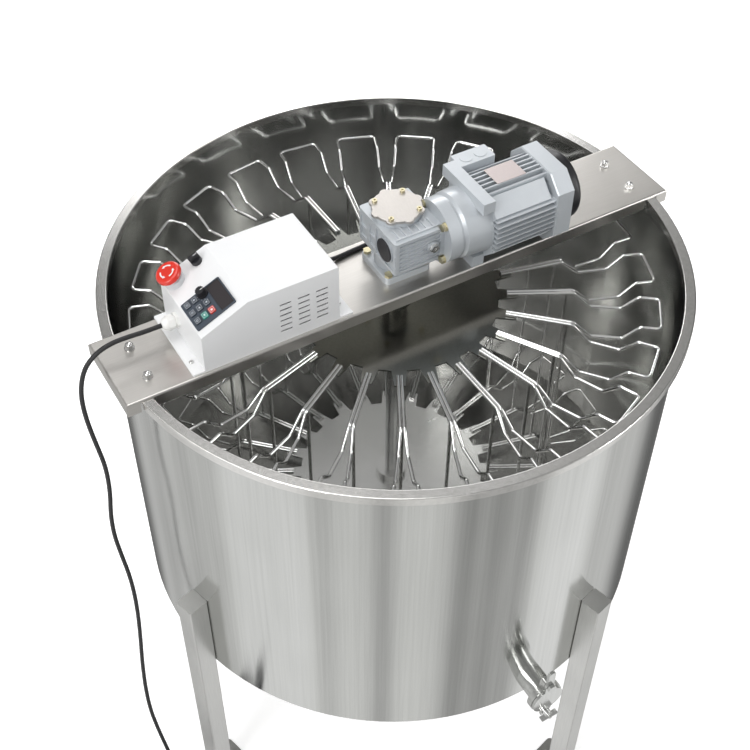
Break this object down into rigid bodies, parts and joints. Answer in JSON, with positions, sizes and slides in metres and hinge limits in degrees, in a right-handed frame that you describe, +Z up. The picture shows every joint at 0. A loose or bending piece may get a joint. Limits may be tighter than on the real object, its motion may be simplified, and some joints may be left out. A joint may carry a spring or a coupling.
{
  "type": "radial honey extractor",
  "caption": "Motor-driven radial honey extractor: stainless drum on legs, spinning wire basket of frame slots, crossbar with worm gearmotor and control box, honey gate at the base.",
  "frame": {"origin": "on the floor, midway between the feet, under the drum's axis", "axes": "+Z up along the drum's axis; +X along the crossbar, from the control box towards the motor; +Y towards the back"},
  "size_m": [1.29, 1.113, 1.286],
  "materials": {
    "drum_steel": "satin",
    "leg_steel": "satin",
    "bar_steel": "satin",
    "disc_steel": "polished",
    "wire_steel": "polished",
    "shaft_steel": "ground",
    "fastener_steel": "bright",
    "zinc_steel": "yellow zinc",
    "bearing_steel": "ground",
    "bronze": "machined",
    "cast_alloy": "cast, sprayed blue-grey",
    "cover_alloy": "machined",
    "plate_alloy": "satin",
    "black_plastic": "satin",
    "white_paint": "powder coated",
    "inverter_plastic": "matte",
    "keypad_plastic": "satin",
    "key_plastic": "satin",
    "green_plastic": "satin",
    "red_key_plastic": "satin",
    "red_plastic": "gloss",
    "grey_plastic": "satin",
    "white_plastic": "satin",
    "cord_rubber": "matte"
  },
  "bodies": {
    "stand": {"drum_wall": "drum_steel", "top_rim": "drum_steel", "drum_floor": "drum_steel", "bearing_housing": "drum_steel", "bar_brackets": "drum_steel", "gate_outlet": "drum_steel", "legs": "leg_steel", "foot_plates": "leg_steel", "crossbar": "bar_steel", "bar_studs": "fastener_steel", "acorn_nuts": "fastener_steel", "box_screws": "fastener_steel", "oil_plug": "fastener_steel", "gearbox_screws": "zinc_steel", "motor_bolts": "zinc_steel", "bottom_bearing": "bearing_steel", "gearbox_bearings": "bearing_steel", "gearbox_housing": "cast_alloy", "gearbox_flange": "cast_alloy", "motor_front_shield": "cast_alloy", "motor_housing": "cast_alloy", "motor_rear_shield": "cast_alloy", "terminal_box": "cast_alloy", "gearbox_cover": "cover_alloy", "motor_nameplate": "plate_alloy", "fan_cowl": "black_plastic", "worm_end_cap": "black_plastic", "control_box_cover": "white_paint", "control_box_base": "white_paint", "inverter_module": "inverter_plastic", "keypad_panel": "keypad_plastic", "estop_collar": "grey_plastic", "mains_gland": "white_plastic", "mains_cord": "cord_rubber", "cord_coil": "cord_rubber", "mains_plug": "cord_rubber", "motor_lead": "cord_rubber"},
    "basket": {"main_shaft": "shaft_steel", "shaft_coupling": "shaft_steel", "worm_wheel": "bronze", "upper_disc": "disc_steel", "lower_disc": "disc_steel", "upper_loops": "wire_steel", "lower_loops": "wire_steel", "basket_rods": "wire_steel"},
    "worm": {"worm_shaft": "shaft_steel", "motor_fan": "black_plastic"},
    "stop_button": {"estop_button": "red_plastic"},
    "selector": {"selector_knob": "black_plastic"},
    "speed_dial": {"speed_knob": "black_plastic"},
    "gate": {"gate_flap": "drum_steel"},
    "gate_nut": {"gate_clamp": "fastener_steel"},
    "menu_key_cap": {"menu_key": "key_plastic"},
    "up_key_cap": {"up_key": "key_plastic"},
    "enter_key_cap": {"enter_key": "key_plastic"},
    "shift_key_cap": {"shift_key": "key_plastic"},
    "down_key_cap": {"down_key": "key_plastic"},
    "jog_key_cap": {"jog_key": "key_plastic"},
    "run_key_cap": {"run_key": "green_plastic"},
    "stop_key_cap": {"stop_key": "red_key_plastic"}
  },
  "joints": [
    {"name": "basket_spin", "type": "hinge", "parent": "stand", "child": "basket", "pos_m": [0, 0, 0.54], "axis": [0, 0, 1], "continuous": true},
    {"name": "worm_spin", "type": "hinge", "parent": "stand", "child": "worm", "pos_m": [0, -0.04, 1.2125], "axis": [1, 0, 0], "continuous": true},
    {"name": "stop_button_press", "type": "slide", "parent": "stand", "child": "stop_button", "axis": [0.4253, 0, -0.9051], "range_m": [0, 0.0035]},
    {"name": "selector_turn", "type": "hinge", "parent": "stand", "child": "selector", "pos_m": [-0.33727, 0.063, 1.23707], "axis": [-0.4253, 0, 0.9051], "range_deg": [-45, 45]},
    {"name": "speed_dial_turn", "type": "hinge", "parent": "stand", "child": "speed_dial", "pos_m": [-0.35808, -0.0045, 1.22729], "axis": [-0.4253, 0, 0.9051], "range_deg": [-150, 150]},
    {"name": "menu_key_press", "type": "slide", "parent": "stand", "child": "menu_key_cap", "axis": [0.4253, 0, -0.9051], "range_m": [0, 0.001], "stiffness_N_per_m": 400, "springref_m": -0.0005},
    {"name": "up_key_press", "type": "slide", "parent": "stand", "child": "up_key_cap", "axis": [0.4253, 0, -0.9051], "range_m": [0, 0.001], "stiffness_N_per_m": 400, "springref_m": -0.0005},
    {"name": "enter_key_press", "type": "slide", "parent": "stand", "child": "enter_key_cap", "axis": [0.4253, 0, -0.9051], "range_m": [0, 0.001], "stiffness_N_per_m": 400, "springref_m": -0.0005},
    {"name": "shift_key_press", "type": "slide", "parent": "stand", "child": "shift_key_cap", "axis": [0.4253, 0, -0.9051], "range_m": [0, 0.001], "stiffness_N_per_m": 400, "springref_m": -0.0005},
    {"name": "down_key_press", "type": "slide", "parent": "stand", "child": "down_key_cap", "axis": [0.4253, 0, -0.9051], "range_m": [0, 0.001], "stiffness_N_per_m": 400, "springref_m": -0.0005},
    {"name": "jog_key_press", "type": "slide", "parent": "stand", "child": "jog_key_cap", "axis": [0.4253, 0, -0.9051], "range_m": [0, 0.001], "stiffness_N_per_m": 400, "springref_m": -0.0005},
    {"name": "run_key_press", "type": "slide", "parent": "stand", "child": "run_key_cap", "axis": [0.4253, 0, -0.9051], "range_m": [0, 0.001], "stiffness_N_per_m": 400, "springref_m": -0.0005},
    {"name": "stop_key_press", "type": "slide", "parent": "stand", "child": "stop_key_cap", "axis": [0.4253, 0, -0.9051], "range_m": [0, 0.001], "stiffness_N_per_m": 400, "springref_m": -0.0005},
    {"name": "gate_swing", "type": "hinge", "parent": "stand", "child": "gate", "pos_m": [0, -0.56, 0.544], "axis": [0, -1, 0], "range_deg": [-95, 0]},
    {"name": "gate_nut_turn", "type": "hinge", "parent": "stand", "child": "gate_nut", "pos_m": [0, -0.568, 0.456], "axis": [0, -1, 0], "range_deg": [-360, 0]}
  ],
  "couplings": [
    {"joint": "worm_spin", "follows": "basket_spin", "ratio": 7.5}
  ]
}
